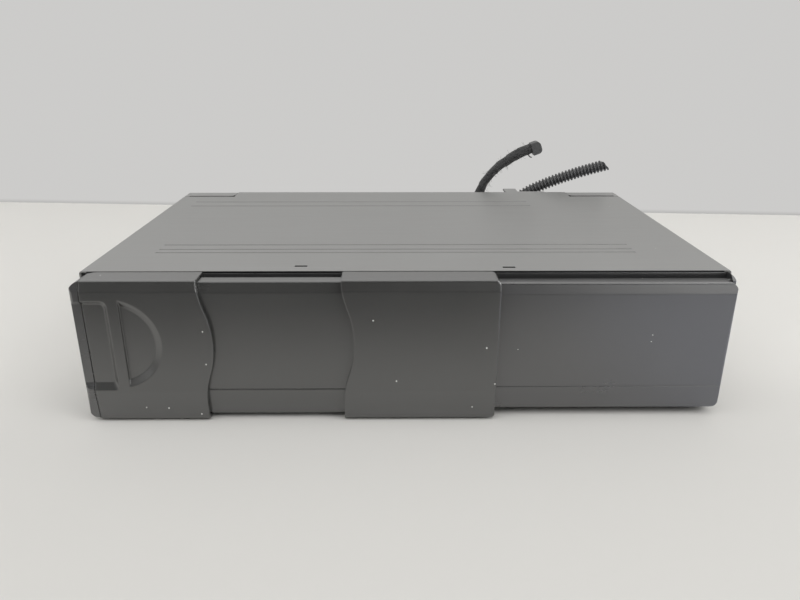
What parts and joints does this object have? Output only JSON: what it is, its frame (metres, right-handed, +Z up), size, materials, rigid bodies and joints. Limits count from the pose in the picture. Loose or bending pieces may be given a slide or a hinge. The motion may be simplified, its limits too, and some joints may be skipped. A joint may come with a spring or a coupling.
{
  "type": "car disc changer",
  "caption": "Flat boot-mounted disc changer with a metal cover, a sliding two-part front door, a disc magazine and a cut-off wiring lead.",
  "frame": {"origin": "on the surface that it stands on, under the middle of its width and depth (without plug and leads)", "axes": "+X right seen from the front, +Y to the back, +Z up"},
  "size_m": [0.2576, 0.1887, 0.0877],
  "materials": {
    "cover_paint": "satin",
    "zinc_sheet": "satin",
    "ear_paint": "satin",
    "front_plastic": "satin",
    "screw_steel": "satin",
    "polished_steel": "polished",
    "board_green": "satin",
    "chip_black": "matte",
    "can_aluminium": "satin",
    "black_plastic": "matte",
    "grey_plastic": "satin",
    "white_plastic": "satin",
    "damper_rubber": "matte",
    "disc_silver": "polished",
    "lens_glass": "polished",
    "motor_steel": "satin",
    "cord_black": "matte"
  },
  "bodies": {
    "case": {"top_cover": "cover_paint", "bottom_chassis": "zinc_sheet", "rear_panel": "ear_paint", "front_bezel": "front_plastic", "cable_bracket": "zinc_sheet", "case_screws": "screw_steel", "main_board": "board_green", "board_standoffs": "screw_steel", "board_screws": "screw_steel", "board_chips": "chip_black", "capacitors": "can_aluminium", "rear_socket": "black_plastic", "harness_plug": "black_plastic", "harness_lead": "cord_black", "harness_connector": "black_plastic", "conduit": "black_plastic", "floating_frame": "zinc_sheet", "frame_lid": "zinc_sheet", "dampers": "damper_rubber", "damper_studs": "screw_steel", "magazine_cradle": "black_plastic", "eject_guide": "zinc_sheet", "guide_posts": "polished_steel", "lift_stud": "polished_steel", "lift_motor": "motor_steel", "gear_bracket": "zinc_sheet"},
    "shutter": {"door_shutter": "front_plastic"},
    "grip": {"door_grip": "front_plastic"},
    "eject": {"eject_button": "black_plastic"},
    "catch": {"catch_lever": "black_plastic"},
    "magazine": {"magazine_case": "grey_plastic", "disc_tray_2": "grey_plastic", "disc_tray_3": "grey_plastic", "disc_tray_4": "grey_plastic", "disc_tray_5": "grey_plastic", "disc_2": "disc_silver", "disc_3": "disc_silver", "disc_4": "disc_silver", "disc_5": "disc_silver"},
    "tray_1": {"disc_tray_1": "grey_plastic", "disc_1": "disc_silver"},
    "tray_6": {"disc_tray_6": "grey_plastic", "disc_6": "disc_silver"},
    "deck": {"elevator_deck": "zinc_sheet", "arm_stand": "zinc_sheet", "spindle_motor": "motor_steel", "clamp_pin": "polished_steel", "sled_rods": "polished_steel", "sled_motor": "motor_steel"},
    "table": {"turntable": "black_plastic"},
    "arm": {"clamp_arm": "zinc_sheet"},
    "puck": {"clamp_puck": "white_plastic"},
    "sled": {"pickup_sled": "black_plastic", "objective_lens": "lens_glass"},
    "screw": {"lead_screw": "polished_steel"},
    "cam": {"cam_plate": "white_plastic"},
    "gear": {"lift_gear": "white_plastic"},
    "pinion": {"motor_pinion": "white_plastic"},
    "dial_left": {"angle_dial_left": "black_plastic"},
    "dial_right": {"angle_dial_right": "black_plastic"}
  },
  "joints": [
    {"name": "shutter_slide", "type": "slide", "parent": "case", "child": "shutter", "axis": [1, 0, 0], "range_m": [0, 0.087]},
    {"name": "grip_slide", "type": "slide", "parent": "shutter", "child": "grip", "axis": [1, 0, 0], "range_m": [0, 0.0537]},
    {"name": "eject_press", "type": "slide", "parent": "case", "child": "eject", "axis": [0, 1, 0], "range_m": [0, 0.002], "stiffness_N_per_m": 300, "springref_m": -0.002},
    {"name": "catch_tip", "type": "hinge", "parent": "case", "child": "catch", "pos_m": [0.0095, -0.07195, 0.0154], "axis": [-1, 0, 0], "range_deg": [0, 8.2]},
    {"name": "magazine_slide", "type": "slide", "parent": "case", "child": "magazine", "axis": [0, 1, 0], "range_m": [-0.011, 0]},
    {"name": "tray_1_slide", "type": "slide", "parent": "magazine", "child": "tray_1", "axis": [1, 0, 0], "range_m": [0, 0.118]},
    {"name": "tray_6_slide", "type": "slide", "parent": "magazine", "child": "tray_6", "axis": [1, 0, 0], "range_m": [0, 0.118]},
    {"name": "deck_lift", "type": "slide", "parent": "case", "child": "deck", "axis": [0, 0, 1], "range_m": [0, 0.0248]},
    {"name": "cam_slide", "type": "slide", "parent": "case", "child": "cam", "axis": [1, 0, 0], "range_m": [-0.0301, 0]},
    {"name": "lift_gear_spin", "type": "hinge", "parent": "case", "child": "gear", "pos_m": [0.075, 0.06085, 0.0486], "axis": [0, 1, 0], "range_deg": [0, 360]},
    {"name": "motor_pinion_spin", "type": "hinge", "parent": "case", "child": "pinion", "pos_m": [0.0865, 0.06385, 0.0486], "axis": [0, 1, 0], "range_deg": [-1350, 0]},
    {"name": "turntable_spin", "type": "hinge", "parent": "deck", "child": "table", "pos_m": [0.06, -0.00665, 0.019], "axis": [0, 0, 1], "continuous": true},
    {"name": "puck_spin", "type": "hinge", "parent": "arm", "child": "puck", "pos_m": [0.06, -0.00665, 0.025], "axis": [0, 0, 1], "continuous": true},
    {"name": "clamp_arm_tilt", "type": "hinge", "parent": "deck", "child": "arm", "pos_m": [0.06, 0.05385, 0.0284], "axis": [-1, 0, 0], "range_deg": [-2.75, 0]},
    {"name": "sled_slide", "type": "slide", "parent": "deck", "child": "sled", "axis": [0, -1, 0], "range_m": [0, 0.034]},
    {"name": "lead_screw_spin", "type": "hinge", "parent": "deck", "child": "screw", "pos_m": [0.088, -0.05515, 0.0156], "axis": [0, 1, 0], "range_deg": [0, 4900]},
    {"name": "dial_left_turn", "type": "hinge", "parent": "case", "child": "dial_left", "pos_m": [-0.127, 0.06685, 0.04], "axis": [1, 0, 0], "range_deg": [0, 90]},
    {"name": "dial_right_turn", "type": "hinge", "parent": "case", "child": "dial_right", "pos_m": [0.127, 0.06685, 0.04], "axis": [1, 0, 0], "range_deg": [0, 90]}
  ],
  "couplings": [
    {"joint": "catch_tip", "follows": "eject_press", "rad_per_m": 68.493},
    {"joint": "cam_slide", "follows": "deck_lift", "ratio": -1.2097},
    {"joint": "lift_gear_spin", "follows": "deck_lift", "rad_per_m": 252.02},
    {"joint": "motor_pinion_spin", "follows": "deck_lift", "rad_per_m": -945.06},
    {"joint": "puck_spin", "follows": "turntable_spin", "ratio": 1},
    {"joint": "lead_screw_spin", "follows": "sled_slide", "rad_per_m": 2513.3}
  ]
}
